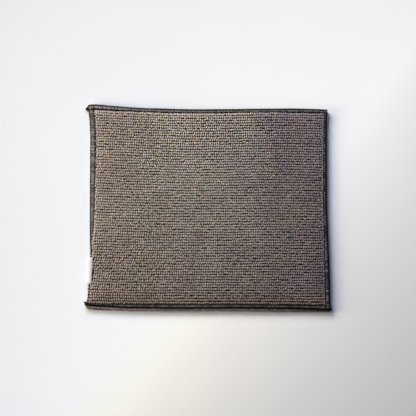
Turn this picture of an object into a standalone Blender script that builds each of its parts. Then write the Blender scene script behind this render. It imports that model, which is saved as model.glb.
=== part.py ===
"""Microfibre cloth lying flat, face up.

One piece of ribbed pile cloth, a sewn edging over each of its four sides, with
the thread tails at the corners, and a small folded label on the left side.
Metres, +Z up.  +X runs along the ribs to the right and +Y up the face.  The
origin is on the surface, below the middle of the whole piece.
"""

import math
from collections import namedtuple

import bmesh
import bpy
from mathutils import Vector

MM = 0.001

# Driving dimensions, in millimetres.
GAP = 0.3               # clearance between pieces
RIB_COUNT = 75          # rows of pile on the face
RIB_DEPTH = 0.7         # from the crest of a row to the groove beside it
PILE_HEIGHT = 4.3       # surface to rib crests in the middle of the face
SHOULDER_HEIGHT = 3.8   # rib crests where the pile meets the edging
SHOULDER_RUN = 0.8      # width of the pile's rounded side
CROWN_REACH = 9.0       # distance over which the face rises to its full height
RIM_THICKNESS = 1.2     # cloth pressed between the edging's threads
THREAD_WALL = 0.7       # edging over and under the rim
UNDER_BAND = 4.8        # width of the edging on the underside
NOSE = 1.2              # depth of the edging's rounded outer side
END_SLOT = 0.2          # what is left of the rim's slot where a run is closed
UNDER_STEP = 0.25       # slope from the pressed rim down to the flat underside

# Mesh steps.
FACE_COLUMNS = 14       # across the pile, between the shoulders
STEPS_PER_RIB = 2       # one crest and one groove
NOSE_STEPS = 6          # round the edging's outer side
EDGING_SPACING = 6.5    # between sections along an edging
TAIL_STEPS = 4          # along a thread tail
END_STEP = 0.05         # over which a run's open end closes
LABEL_STEPS = 6         # across the label
FOLD_STEPS = 4          # round the label's fold

EDGING_HEIGHT = RIM_THICKNESS + 2 * GAP + 2 * THREAD_WALL
RIM_BOTTOM = THREAD_WALL + GAP
RIM_TOP = RIM_BOTTOM + RIM_THICKNESS

# Each side of the cloth, sampled along it: how far out the edging's outer line
# lies from the middle, and how wide the edging shows on the face.
SideRow = namedtuple("SideRow", "along reach band")
SIDES = {
    "top": (
        SideRow(-101.0, 87.0, 5.4),
        SideRow(-92.0, 87.3, 5.7),
        SideRow(-74.0, 85.9, 4.7),
        SideRow(-50.0, 84.0, 3.6),
        SideRow(-14.0, 82.6, 3.0),
        SideRow(20.0, 83.0, 3.0),
        SideRow(62.0, 83.8, 3.6),
        SideRow(101.0, 82.7, 3.2),
    ),
    "bottom": (
        SideRow(-102.0, 83.0, 3.4),
        SideRow(-92.0, 83.9, 3.7),
        SideRow(-47.0, 84.7, 4.1),
        SideRow(20.0, 84.8, 4.2),
        SideRow(56.0, 85.5, 4.6),
        SideRow(101.0, 86.2, 4.8),
    ),
    "left": (
        SideRow(-84.0, 101.2, 2.6),
        SideRow(-76.0, 99.5, 2.4),
        SideRow(-60.0, 98.1, 2.2),
        SideRow(-36.0, 97.4, 2.3),
        SideRow(-18.0, 97.5, 3.3),
        SideRow(6.0, 97.8, 4.1),
        SideRow(40.0, 98.2, 4.6),
        SideRow(66.0, 98.7, 4.7),
        SideRow(88.0, 100.8, 4.7),
    ),
    "right": (
        SideRow(-87.0, 100.4, 5.0),
        SideRow(-60.0, 99.9, 4.8),
        SideRow(-27.0, 98.9, 3.1),
        SideRow(0.0, 98.3, 2.2),
        SideRow(32.0, 98.6, 2.1),
        SideRow(60.0, 99.1, 2.1),
        SideRow(84.0, 100.1, 2.0),
    ),
}

# Thread tails: how far one stands out past the corner, how far its tip bends
# in from the edging's line, and the width of the tip.
Tail = namedtuple("Tail", "length bend tip")
TAILS = {
    ("top", -1): Tail(2.3, 2.0, 0.9),
    ("top", 1): Tail(0.7, 0.5, 1.6),
    ("bottom", -1): Tail(1.9, 2.4, 0.9),
    ("bottom", 1): Tail(2.2, 1.6, 1.0),
}

# Soft unevenness of the face: centre, half width along X and Y, and height.
Swell = namedtuple("Swell", "x y half_x half_y height")
SWELLS = (
    Swell(-60.0, 35.0, 34.0, 40.0, 0.35),
    Swell(-36.0, -45.0, 10.0, 48.0, -0.40),
    Swell(-68.0, -58.0, 26.0, 20.0, 0.30),
    Swell(15.0, 10.0, 38.0, 30.0, 0.25),
    Swell(62.0, 48.0, 24.0, 24.0, -0.30),
    Swell(70.0, -30.0, 26.0, 44.0, 0.30),
    Swell(18.0, -62.0, 30.0, 14.0, -0.25),
)

# Label: its place on the left side and its folded form.
LABEL_ALONG = -52.5     # middle of the label along the left side
LABEL_LENGTH = 21.6
LABEL_THICKNESS = 0.7
LABEL_OVERHANG = 2.2    # how far its fold stands out past the edging
LABEL_DROOP = 0.5       # how far the fold hangs down
LABEL_SLANT = math.radians(2.4)
LABEL_SINK = 0.2        # how far its inner end stops short of the band's

CLOTH_COLOUR = (0.20, 0.17, 0.145)
EDGING_COLOUR = (0.035, 0.034, 0.036)
LABEL_COLOUR = (0.82, 0.79, 0.79)


def clear_scene():
    for thing in list(bpy.data.objects):
        bpy.data.objects.remove(thing, do_unlink=True)


def fabric(name, colour, roughness):
    material = bpy.data.materials.new(name)
    material.use_nodes = True
    shader = material.node_tree.nodes["Principled BSDF"]
    shader.inputs["Base Color"].default_value = (*colour, 1.0)
    shader.inputs["Roughness"].default_value = roughness
    shader.inputs["Metallic"].default_value = 0.0
    return material


def lerp(low, high, part):
    return low + (high - low) * part


def smooth(part):
    part = min(max(part, 0.0), 1.0)
    return part * part * (3 - 2 * part)


def read_side(side, column, along):
    """One column of a side's table at a place along it, as a smooth curve through the rows."""
    rows = SIDES[side]
    places = [row.along for row in rows]
    values = [getattr(row, column) for row in rows]
    along = min(max(along, places[0]), places[-1])
    low = max(i for i in range(len(rows) - 1) if places[i] <= along)

    def slope(i):
        before, after = max(i - 1, 0), min(i + 1, len(rows) - 1)
        return (values[after] - values[before]) / (places[after] - places[before])

    span = places[low + 1] - places[low]
    part = (along - places[low]) / span
    bow_in = part * (1 - part) ** 2 * span * slope(low)
    bow_out = part * part * (1 - part) * span * slope(low + 1)
    return lerp(values[low], values[low + 1], smooth(part)) + bow_in - bow_out


def outer_line(side, along):
    sign = -1 if side in ("left", "bottom") else 1
    return sign * read_side(side, "reach", along)


def inset(line, side, along):
    """How far inside a side's outer line one of the cloth's own lines runs."""
    if line == "rim":
        return THREAD_WALL + GAP
    if line == "under":
        return UNDER_BAND + GAP
    if line == "underside":
        return UNDER_BAND + GAP + UNDER_STEP
    foot = read_side(side, "band", along) + GAP
    return foot if line == "foot" else foot + SHOULDER_RUN


def cloth_point(x_line, x_part, y_line, y_part):
    """X and Y where a line across the cloth meets a line up it. Each side's
    place depends a little on the other's, so the two are settled together."""
    x, y = 0.0, 0.0
    for _ in range(4):
        left = outer_line("left", y) + inset(x_line, "left", y)
        right = outer_line("right", y) - inset(x_line, "right", y)
        x = lerp(left, right, x_part)
        bottom = outer_line("bottom", x) + inset(y_line, "bottom", x)
        top = outer_line("top", x) - inset(y_line, "top", x)
        y = lerp(bottom, top, y_part)
    return x, y


def rim_parts(x, y):
    """How far across and up the cloth's rim a point lies, from 0 to 1 each way."""
    left = outer_line("left", y) + inset("rim", "left", y)
    right = outer_line("right", y) - inset("rim", "right", y)
    bottom = outer_line("bottom", x) + inset("rim", "bottom", x)
    top = outer_line("top", x) - inset("rim", "top", x)
    return (x - left) / (right - left), (y - bottom) / (top - bottom)


def stations(count):
    """The lines across the cloth, from side to side: rim, foot, then the pile."""
    pile = [("shoulder", i / count) for i in range(count + 1)]
    return [("rim", 0.0), ("foot", 0.0), *pile, ("foot", 1.0), ("rim", 1.0)]


def face_height(x, y, row):
    """Height of the pile, with its crown, soft unevenness and ribs."""
    left, bottom = cloth_point("shoulder", 0.0, "shoulder", 0.0)
    right, top = cloth_point("shoulder", 1.0, "shoulder", 1.0)
    rise = smooth(min(x - left, right - x, y - bottom, top - y) / CROWN_REACH)
    height = lerp(SHOULDER_HEIGHT, PILE_HEIGHT, rise)
    for swell in SWELLS:
        away = ((x - swell.x) / swell.half_x) ** 2 + ((y - swell.y) / swell.half_y) ** 2
        height += rise * swell.height * math.exp(-away)
    groove = row % STEPS_PER_RIB == 0
    return height - (RIB_DEPTH if groove else 0.0)


def build_cloth(collection, material):
    """A grid raised into the ribbed face, whose border is carried down round
    the pressed rim to a flat underside."""
    columns = stations(FACE_COLUMNS)
    rows = stations(RIB_COUNT * STEPS_PER_RIB)
    shape = bmesh.new()
    bmesh.ops.create_grid(
        shape, x_segments=len(columns) - 1, y_segments=len(rows) - 1, size=0.5
    )
    border = [edge for edge in shape.edges if edge.is_boundary]
    across = shape.verts.layers.float.new("across")
    upward = shape.verts.layers.float.new("upward")
    for vert in shape.verts:
        x_line, x_part = columns[round((vert.co.x + 0.5) * (len(columns) - 1))]
        row = round((vert.co.y + 0.5) * (len(rows) - 1))
        y_line, y_part = rows[row]
        x, y = cloth_point(x_line, x_part, y_line, y_part)
        on_pile = x_line == y_line == "shoulder"
        height = face_height(x, y, row) if on_pile else RIM_TOP
        vert.co = Vector((x, y, height)) * MM
        vert[across], vert[upward] = rim_parts(x, y)

    for line, height in (("rim", RIM_BOTTOM), ("under", RIM_BOTTOM), ("underside", 0.0)):
        grown = bmesh.ops.extrude_edge_only(shape, edges=border)["geom"]
        border = [item for item in grown if isinstance(item, bmesh.types.BMEdge)]
        border = [edge for edge in border if edge.is_boundary]
        for vert in {vert for edge in border for vert in edge.verts}:
            x, y = cloth_point(line, vert[across], line, vert[upward])
            vert.co = Vector((x, y, height)) * MM
    bmesh.ops.contextual_create(shape, geom=border)
    return finish_mesh("cloth", shape, collection, material)


def edging_section(band, under, filled):
    """The edging's section as (distance in from the outer line, height) points:
    over the rim, round the outer side and back under it. Filled closes the
    slot that holds the rim."""
    half = EDGING_HEIGHT / 2
    points = [(band, EDGING_HEIGHT)]
    for i in range(NOSE_STEPS + 1):
        turn = math.pi * i / NOSE_STEPS
        points.append((NOSE * (1 - math.sin(turn)), half + half * math.cos(turn)))
    slot = lerp(THREAD_WALL, min(band, under) - END_SLOT, filled)
    points.append((under, 0.0))
    points.append((under, THREAD_WALL))
    points.append((slot, THREAD_WALL))
    points.append((slot, EDGING_HEIGHT - THREAD_WALL))
    points.append((band, EDGING_HEIGHT - THREAD_WALL))
    return points


def side_point(side, along, inward, height):
    across = outer_line(side, along)
    across -= math.copysign(inward, across)
    flat = (along, across) if side in ("top", "bottom") else (across, along)
    return Vector((*flat, height)) * MM


def run_sections(side, start, end):
    """The sections of the plain run of an edging."""
    steps = math.ceil((end - start) / EDGING_SPACING)
    for i in range(steps + 1):
        along = lerp(start, end, i / steps)
        section = edging_section(read_side(side, "band", along), UNDER_BAND, 0.0)
        yield [side_point(side, along, *point) for point in section]


def tail_sections(side, end, tail):
    """The sections that close a run's end and draw it out into its thread tail."""
    direction = math.copysign(1.0, end)
    band = read_side(side, "band", end)
    closed = edging_section(band, UNDER_BAND, 1.0)
    yield [side_point(side, end + direction * END_STEP, *point) for point in closed]
    width = min(band, UNDER_BAND)
    for i in range(1, TAIL_STEPS + 1):
        part = smooth(i / TAIL_STEPS)
        along = end + direction * lerp(END_STEP, THREAD_WALL + tail.length, i / TAIL_STEPS)
        middle = lerp(width / 2, tail.bend + tail.tip / 2, part)
        narrow = lerp(1.0, tail.tip / width, part)
        thin = lerp(1.0, tail.tip / EDGING_HEIGHT, part)
        section = []
        for inward, height in edging_section(width, width, 1.0):
            drawn_in = middle + (inward - width / 2) * narrow
            section.append((drawn_in, lerp(EDGING_HEIGHT / 2, height, thin)))
        yield [side_point(side, along, *point) for point in section]


def build_edging(side, start, end, collection, material):
    """A strip lofted through its sections, folded over one side of the cloth."""
    sections = list(run_sections(side, start, end))
    for place in (start, end):
        tail = TAILS.get((side, round(math.copysign(1, place))))
        if tail:
            drawn_out = list(tail_sections(side, place, tail))
            sections = drawn_out[::-1] + sections if place == start else sections + drawn_out
    shape = bmesh.new()
    rings = [[shape.verts.new(point) for point in section] for section in sections]
    for ring, following in zip(rings, rings[1:]):
        for i in range(len(ring)):
            j = (i + 1) % len(ring)
            shape.faces.new((ring[i], ring[j], following[j], following[i]))
    shape.faces.new(rings[0])
    shape.faces.new(rings[-1])
    return finish_mesh("edging_" + side, shape, collection, material)


def finish_mesh(name, shape, collection, material):
    bmesh.ops.recalc_face_normals(shape, faces=shape.faces)
    mesh = bpy.data.meshes.new(name)
    shape.to_mesh(mesh)
    shape.free()
    mesh.shade_smooth()
    mesh.set_sharp_from_angle(angle=math.radians(50))
    mesh.materials.append(material)
    piece = bpy.data.objects.new(name, mesh)
    collection.objects.link(piece)
    return piece


def build_label(collection, material):
    """A flat folded tape over the left edging, drawn as its end outline and
    extruded along the side. Its fold hangs a little way out over the edge."""
    edge = outer_line("left", LABEL_ALONG)
    inner = read_side("left", "band", LABEL_ALONG) - LABEL_SINK
    base = EDGING_HEIGHT + GAP
    top_side, under_side = [], []
    for i in range(LABEL_STEPS + 1):
        part = i / LABEL_STEPS
        inward = lerp(inner, -LABEL_OVERHANG + LABEL_THICKNESS / 2, part)
        drop = LABEL_DROOP * smooth(part) if inward < 0 else 0.0
        top_side.append((inward, base + LABEL_THICKNESS - drop))
        under_side.append((inward, base - drop))
    fold_in, fold_height = under_side[-1]
    fold = []
    for i in range(1, FOLD_STEPS):
        turn = math.pi * i / FOLD_STEPS
        fold.append((
            fold_in - LABEL_THICKNESS / 2 * math.sin(turn),
            fold_height + LABEL_THICKNESS / 2 * (1 + math.cos(turn)),
        ))
    outline = top_side + fold + under_side[::-1]

    curve = bpy.data.curves.new("label", "CURVE")
    curve.dimensions = "2D"
    curve.fill_mode = "BOTH"
    curve.extrude = LABEL_LENGTH / 2 * MM
    spline = curve.splines.new("POLY")
    spline.points.add(len(outline) - 1)
    for point, (inward, height) in zip(spline.points, outline):
        point.co = (inward * MM, height * MM, 0.0, 1.0)
    spline.use_cyclic_u = True
    curve.materials.append(material)
    piece = bpy.data.objects.new("label", curve)
    piece.location = Vector((edge, LABEL_ALONG, 0.0)) * MM
    piece.rotation_euler = (math.radians(90), 0.0, -LABEL_SLANT)
    collection.objects.link(piece)
    return piece


def centre_on_origin(pieces, collection):
    """Parents the pieces to an empty that brings the middle of their box over the origin."""
    bpy.context.view_layer.update()
    corners = [
        piece.matrix_world @ Vector(corner) for piece in pieces for corner in piece.bound_box
    ]
    anchor = bpy.data.objects.new("cloth_anchor", None)
    collection.objects.link(anchor)
    for axis in range(2):
        places = [corner[axis] for corner in corners]
        anchor.location[axis] = -(min(places) + max(places)) / 2
    for piece in pieces:
        piece.parent = anchor


def main():
    clear_scene()
    collection = bpy.data.collections.new("microfibre_cloth")
    bpy.context.scene.collection.children.link(collection)
    pile = fabric("rib_pile", CLOTH_COLOUR, 0.95)
    thread = fabric("edging_thread", EDGING_COLOUR, 0.8)
    tape = fabric("label_tape", LABEL_COLOUR, 0.55)

    pieces = [build_cloth(collection, pile)]
    for side, up in (("top", 1.0), ("bottom", 0.0)):
        start, _ = cloth_point("rim", 0.0, "rim", up)
        end, _ = cloth_point("rim", 1.0, "rim", up)
        pieces.append(build_edging(side, start - GAP, end + GAP, collection, thread))
    for side in ("left", "right"):
        ends = []
        for crossing in ("bottom", "top"):
            across = outer_line(side, outer_line(crossing, 0.0))
            band = max(read_side(crossing, "band", across), UNDER_BAND) + GAP
            line = outer_line(crossing, across)
            ends.append(line - math.copysign(band, line))
        pieces.append(build_edging(side, *ends, collection, thread))
    pieces.append(build_label(collection, tape))
    centre_on_origin(pieces, collection)


main()
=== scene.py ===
import math

import bpy
import numpy as np
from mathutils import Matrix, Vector


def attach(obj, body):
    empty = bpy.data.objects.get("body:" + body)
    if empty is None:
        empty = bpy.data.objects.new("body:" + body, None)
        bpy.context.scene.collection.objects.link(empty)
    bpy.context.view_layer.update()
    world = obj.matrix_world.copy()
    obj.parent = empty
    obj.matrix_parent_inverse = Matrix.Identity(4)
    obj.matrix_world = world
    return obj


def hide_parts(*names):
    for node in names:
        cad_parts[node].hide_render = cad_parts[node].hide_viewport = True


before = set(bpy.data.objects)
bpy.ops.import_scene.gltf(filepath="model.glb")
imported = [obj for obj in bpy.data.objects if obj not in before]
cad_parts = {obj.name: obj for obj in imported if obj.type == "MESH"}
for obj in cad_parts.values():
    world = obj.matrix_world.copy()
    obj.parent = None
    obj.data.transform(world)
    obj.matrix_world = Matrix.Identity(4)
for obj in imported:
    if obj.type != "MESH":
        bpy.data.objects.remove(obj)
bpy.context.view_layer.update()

mm = 0.001
tau = 2 * math.pi


# camera: above the face, leaning a little towards the bottom side as in the photo

cameraSetup = {
    "distance": 1.0,  # metres from the face
    "tilt": 8.0,  # degrees off the face's own normal
    "mmPerPixel": 0.83,  # size of one picture pixel on the face
    "pixels": 416,
    "sensor": 36.0,
    "aim": (0.0, -0.55, 0.0),  # mm
}


def makeCamera():
    setup = cameraSetup
    data = bpy.data.cameras.new("camera")
    data.sensor_width = setup["sensor"]
    data.lens = setup["sensor"] * setup["distance"] / (setup["mmPerPixel"] * mm * setup["pixels"])
    data.clip_start, data.clip_end = 0.01, 20.0
    camera = bpy.data.objects.new("camera", data)
    tilt = math.radians(setup["tilt"])
    back = Vector((0.0, -math.sin(tilt), math.cos(tilt)))
    camera.location = Vector(setup["aim"]) * mm + back * setup["distance"]
    camera.rotation_mode = "QUATERNION"
    camera.rotation_quaternion = (-back).to_track_quat("-Z", "Y")
    bpy.context.collection.objects.link(camera)
    bpy.context.scene.camera = camera


makeCamera()
print("camera set")


# what the frame says about the cloth

def nodePoints(name):
    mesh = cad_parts[name].data
    flat = np.empty(len(mesh.vertices) * 3)
    mesh.vertices.foreach_get("co", flat)
    return flat.reshape(-1, 3) / mm


section = {
    "near": 0.02,  # mm: points this near along the side are in one section
    "level": 0.01,  # mm: this near the top or the underside they are level with it
    "points": 70,  # a whole section has more points than this
    "levelPoints": 8,  # and more level ones than this
}


def readSide(name):
    # the plain run of one edging: outer line and the width of its band, along the side
    points = nodePoints(name)
    size = np.ptp(points, axis=0)
    alongAxis = 0 if size[0] > size[1] else 1
    along, across, height = points[:, alongAxis], points[:, 1 - alongAxis], points[:, 2]
    sign = 1.0 if across.mean() > 0 else -1.0
    top = height.max()
    rows = []
    for place in np.unique(np.round(along, 2)):
        here = np.abs(along - place) < section["near"]
        upper = here & (height > top - section["level"])
        lower = here & (height < section["level"])
        if here.sum() > section["points"] and min(upper.sum(), lower.sum()) > section["levelPoints"]:
            outer = (across[here] * sign).max()
            band = outer - (across[upper] * sign).min()
            rows.append((along[here].mean(), outer, band, outer - (across[lower] * sign).min()))
    rows = np.array(rows)
    return {"axis": alongAxis, "sign": sign, "along": rows[:, 0], "outer": rows[:, 1],
            "band": rows[:, 2], "under": rows[:, 3].max(), "height": top}


sideNames = ("top", "bottom", "left", "right")
sides = {side: readSide("edging_" + side) for side in sideNames}


def bySide(*values):
    return dict(zip(sideNames, values))


def outerLine(side, along):
    line = sides[side]
    return line["sign"] * np.interp(along, line["along"], line["outer"])


# each side's needle line: pairs of the band's width and mm inside the outer line
needleLine = {
    "top": ((2.9, 2.6), (3.5, 2.95), (4.6, 3.95), (5.5, 4.35)),
    "bottom": ((3.5, 3.8), (4.8, 5.1)),
    "left": ((2.35, 0.35), (3.3, 2.7), (4.7, 4.4)),  # its narrow lower part is rolled under
    "right": ((2.0, 2.6), (5.0, 4.3)),
}
rimGaps = {
    "rolled": 1.15,  # mm: a side is rolled under where its needle line is this near the outer line
    "pile": 0.65,  # mm from the needle line to the pile
    "rolledPile": 1.3,  # mm more where the side is rolled under
}


def graph(pairs, at):
    # the line drawn through pairs of numbers, read at these places
    return np.interp(at, *zip(*pairs))


def needleInward(side, along):
    line = sides[side]
    return graph(needleLine[side], np.interp(along, line["along"], line["band"]))


def rolledUnder(side, along):
    # 1 where the side is rolled under as far as its needle line
    return np.clip(rimGaps["rolled"] - needleInward(side, along), 0.0, 1.0)


# where the stitches turn over the rim: pairs of a place along the side and mm inside the outer line
setBacks = {
    "top": ((-96, 0.1), (-81, 0.5), (-70, 0.4), (-51, 0.1), (-36, -0.35), (0, -0.4), (40, 0.0),
            (55, 0.2), (75, -0.1)),
    "bottom": ((-98, 2.8), (-88, 2.6), (-80, 2.3), (-72, 1.8), (-10, 1.4), (40, 1.9), (66, 2.35),
               (80, 2.2), (98, 1.75)),
    "left": ((-40, 0), (-14, -0.25), (27, -0.1), (73, 0.15)),
    "right": ((-75, 0.7), (-60, 0.5), (-20, 0.3), (50, 0.6), (75, 0.9)),
}


def setBack(side, along):
    return graph(setBacks[side], along)


def pileInward(side, along):
    # where the pile begins, inside the outer line
    return needleInward(side, along) + rimGaps["pile"] + rimGaps["rolledPile"] * rolledUnder(side, along)


def clothPoint(across, upward, inset=0.0, pastBand=True):
    # X and Y at fractions of the way across and up, inside the edging or the outer line
    x, y = np.zeros_like(across), np.zeros_like(upward)
    for _ in range(4):  # rounds, because each side's line depends on the point
        insets = {}
        for side, along in (("left", y), ("right", y), ("bottom", x), ("top", x)):
            insets[side] = inset + (pileInward(side, along) if pastBand else 0.0)
        left, right = outerLine("left", y) + insets["left"], outerLine("right", y) - insets["right"]
        x = left + (right - left) * across
        bottom = outerLine("bottom", x) + insets["bottom"]
        top = outerLine("top", x) - insets["top"]
        y = bottom + (top - bottom) * upward
    return x, y


def crestHeights(x, y):
    # height of the solid's rib crests near each place
    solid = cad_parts["cloth"]
    acrossRib = (-0.8, -0.27, 0.27, 0.8)
    above = 50
    heights = np.zeros(len(x))
    for i, (px, py) in enumerate(zip(x, y)):
        for offset in acrossRib:
            hit, spot, _, _ = solid.ray_cast(Vector((px, py + offset, above)) * mm, Vector((0, 0, -1)))
            if hit:
                heights[i] = max(heights[i], spot.z / mm)
    return heights


print("frame read:", len(sides), "sides")


# helpers: soft noise, and meshes from arrays

rng = np.random.default_rng(416)
latticeSize = 96
upright = (0.0, 0.0, 1.0)
lowest = 0.03  # mm above the surface, where yarn and thread are pressed flat
bakeCell = {  # a strand's own cell of the bake map, with a disc for each of its ends
    "size": (0.80, 0.86),
    "corner": (0.04, 0.07),
    "discs": ((0.92, 0.27), (0.92, 0.73)),
    "radius": 0.05,
}


def softNoise(x, y, scaleX, scaleY, seed):
    # smooth values, about -1 to 1, that change over scaleX by scaleY mm
    lattice = np.random.default_rng(seed).normal(0.0, 0.55, (latticeSize, latticeSize))
    gx, gy = x / scaleX + 40.0, y / scaleY + 40.0
    ix, iy = np.floor(gx).astype(int), np.floor(gy).astype(int)
    fx, fy = gx - ix, gy - iy
    fx, fy = fx * fx * (3 - 2 * fx), fy * fy * (3 - 2 * fy)
    ix, iy = ix % (latticeSize - 1), iy % (latticeSize - 1)
    low = lattice[iy, ix] * (1 - fx) + lattice[iy, ix + 1] * fx
    high = lattice[iy + 1, ix] * (1 - fx) + lattice[iy + 1, ix + 1] * fx
    return low * (1 - fy) + high * fy


def wave(setup, x, y):
    # a slow unevenness over the cloth: amount, mm across and up, and seed
    amount, *scales = setup
    return amount * softNoise(x, y, *scales)


def grid(upward, across):
    return np.meshgrid(upward, across, indexing="ij")


def fuller(least, part):
    # from least to 1 as part goes from 0 to 1
    return least + (1 - least) * part


def unit(vectors):
    return vectors / np.linalg.norm(vectors, axis=-1, keepdims=True)


def makeMesh(name, arrays, material):
    # a mesh from arrays: points in mm, all faces' corners in turn, and how many each face has
    mesh = bpy.data.meshes.new(name)
    points, corners, totals = arrays["points"], arrays["corners"], arrays["totals"]
    mesh.vertices.add(len(points))
    mesh.vertices.foreach_set("co", (points * mm).astype(np.float32).ravel())
    mesh.loops.add(len(corners))
    mesh.loops.foreach_set("vertex_index", corners.astype(np.int32))
    mesh.polygons.add(len(totals))
    mesh.polygons.foreach_set("loop_start", (np.cumsum(totals) - totals).astype(np.int32))
    mesh.polygons.foreach_set("loop_total", totals.astype(np.int32))
    mesh.polygons.foreach_set("use_smooth", np.ones(len(totals), bool))
    for mapName in ("strand", "OFBake"):
        layer = mesh.uv_layers.new(name=mapName)
        layer.uv.foreach_set("vector", arrays[mapName].astype(np.float32).ravel())
    for valueName in ("tone", "depth"):
        attribute = mesh.attributes.new(valueName, "FLOAT", "POINT")
        attribute.data.foreach_set("value", arrays[valueName].astype(np.float32).ravel())
    mesh.update(calc_edges=True)
    mesh.validate()
    mesh.materials.append(material)
    piece = bpy.data.objects.new(name, mesh)
    bpy.context.collection.objects.link(piece)
    return piece


def strands(centre, wideWay, halfWide, halfThick, sideCount, tone, depth=1.0, long=False):
    # many tubes at once: centre is strands x rings x 3, and halfWide lies along wideWay
    count, rings, _ = centre.shape
    ahead = np.empty_like(centre)
    ahead[:, 1:-1] = centre[:, 2:] - centre[:, :-2]
    ahead[:, 0] = centre[:, 1] - centre[:, 0]
    ahead[:, -1] = centre[:, -1] - centre[:, -2]
    ahead = unit(ahead)
    wide = unit(wideWay - ahead * (wideWay * ahead).sum(-1, keepdims=True))
    lift = np.cross(ahead, wide)
    turn = tau * np.arange(sideCount) / sideCount
    halfWide = np.broadcast_to(halfWide, (count, rings))
    halfThick = np.broadcast_to(halfThick, (count, rings))
    disc = np.stack([np.cos(turn), np.sin(turn)], -1)
    ring = (disc[:, :1] * wide[:, :, None] * halfWide[:, :, None, None]
            + disc[:, 1:] * lift[:, :, None] * halfThick[:, :, None, None])
    points = (centre[:, :, None] + ring).reshape(-1, 3)
    points[:, 2] = np.maximum(points[:, 2], lowest)
    number = np.arange(count * rings * sideCount).reshape(count, rings, sideCount)
    following = np.roll(number, -1, axis=2)
    quads = np.stack([number[:, :-1], following[:, :-1], following[:, 1:], number[:, 1:]], axis=-1)
    caps = np.stack([number[:, 0, ::-1], number[:, -1]], axis=1)
    corners = np.concatenate([quads.reshape(count, -1), caps.reshape(count, -1)], axis=1).ravel()
    totals = np.tile(np.concatenate([np.full((rings - 1) * sideCount, 4), np.full(2, sideCount)]), count)

    # "strand" runs round and along each tube, and "OFBake" gives each its own cell
    aroundAt, alongAt = np.meshgrid(np.arange(sideCount) / sideCount, np.arange(rings - 1) / (rings - 1))
    steps = ((0, 0), (1 / sideCount, 0), (1 / sideCount, 1 / (rings - 1)), (0, 1 / (rings - 1)))
    quadMap = np.stack([np.stack([aroundAt + a, alongAt + b], -1) for a, b in steps], 2).reshape(-1, 2)
    strandMap = np.concatenate([quadMap, 0.5 + 0.3 * disc, 0.5 + 0.3 * disc])
    discs = [middle + bakeCell["radius"] * disc for middle in bakeCell["discs"]]
    cellMap = np.concatenate([quadMap[:, ::-1] * bakeCell["size"] + bakeCell["corner"], *discs])
    across = 1 if long else math.ceil(math.sqrt(count))
    down = math.ceil(count / across)
    cell = np.stack([np.arange(count) % across, np.arange(count) // across], -1)
    bakeMap = (cell[:, None] + cellMap[None]) / (across, down)
    return {"points": points, "corners": corners, "totals": totals,
            "strand": np.tile(strandMap, (count, 1)), "OFBake": bakeMap.reshape(-1, 2),
            "tone": perPoint(tone, count, rings, sideCount),
            "depth": perPoint(depth, count, rings, sideCount)}


def perPoint(numbers, count, rings, sideCount):
    # one number for all, for each strand or for each ring, as one for every point
    numbers = np.asarray(numbers, float)
    if numbers.ndim == 1:
        numbers = numbers[:, None]
    return np.repeat(np.broadcast_to(numbers, (count, rings)), sideCount, axis=1).ravel()


def joinStrands(parts):
    # several sets of strands as one, their bake cells side by side
    across = math.ceil(math.sqrt(len(parts)))
    down = math.ceil(len(parts) / across)
    offset = 0
    for i, part in enumerate(parts):
        part["corners"] = part["corners"] + offset
        part["OFBake"] = (part["OFBake"] + (i % across, i // across)) / (across, down)
        offset += len(part["points"])
    return {key: np.concatenate([part[key] for part in parts]) for key in parts[0]}


# shader wiring

def operator(operation):
    # one kind of sum, and the same with the wire on its right
    def plain(self, other):
        return self.sum(operation, self, other)

    def reflected(self, other):
        return self.sum(operation, other, self)

    return plain, reflected


class Wire:
    # a shader socket that takes part in sums; the bare tree when it has no socket
    __add__, __radd__ = operator("ADD")
    __sub__, __rsub__ = operator("SUBTRACT")
    __mul__, __rmul__ = operator("MULTIPLY")
    __truediv__, __rtruediv__ = operator("DIVIDE")
    __pow__, __rpow__ = operator("POWER")

    def __init__(self, tree, socket=None):
        self.tree, self.socket = tree, socket

    def node(self, kind, settings=None, values=None, output=0):
        made = self.tree.nodes.new(kind)
        for name, value in (settings or {}).items():
            setattr(made, name, value)
        for name, value in (values or {}).items():
            if isinstance(value, Wire):
                self.tree.links.new(value.socket, made.inputs[name])
            else:
                made.inputs[name].default_value = value
        return Wire(self.tree, made.outputs[output])

    def attribute(self, name):
        return self.node("ShaderNodeAttribute", {"attribute_name": name}, output="Fac")

    def strandMap(self):
        return self.node("ShaderNodeUVMap", {"uv_map": "strand"})

    def place(self):
        return self.node("ShaderNodeTexCoord", output="Object")

    def sum(self, operation, first, second):
        return self.node("ShaderNodeMath", {"operation": operation}, {0: first, 1: second})

    def within(self, low, high):
        return self.node("ShaderNodeMapRange", {"clamp": True},
                         {"Value": self, "From Min": low, "From Max": high})

    def mix(self, kind, share, low, high):
        settings = {"data_type": "RGBA", "blend_type": kind}
        return self.node("ShaderNodeMix", settings, {0: share, 6: low, 7: high}, output=2)

    def blend(self, low, high):
        # from one colour to the other as this goes from 0 to 1
        return self.mix("MIX", self, low, high)

    def timesColour(self, colour):
        return self.mix("MULTIPLY", 1.0, self, colour)

    def vector(self, operation, other, output=0):
        return self.node("ShaderNodeVectorMath", {"operation": operation}, {0: self, 1: other}, output)

    def distance(self, place):
        return self.vector("DISTANCE", place, output=1)

    def stretched(self, scale):
        return self.vector("MULTIPLY", scale)

    def noise(self, scale, detail):
        return self.node("ShaderNodeTexNoise", None, {"Vector": self, "Scale": scale, "Detail": detail})


def startFinish(name, fixed):
    # a material and its shader; fixed holds what is the same all over
    material = bpy.data.materials.new(name)
    material.use_nodes = True
    shader = material.node_tree.nodes["Principled BSDF"]
    for socket, value in fixed.items():
        shader.inputs[socket].default_value = value
    return material, Wire(material.node_tree), shader


def plug(wire, shader, socket):
    wire.tree.links.new(wire.socket, shader.inputs[socket])


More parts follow.
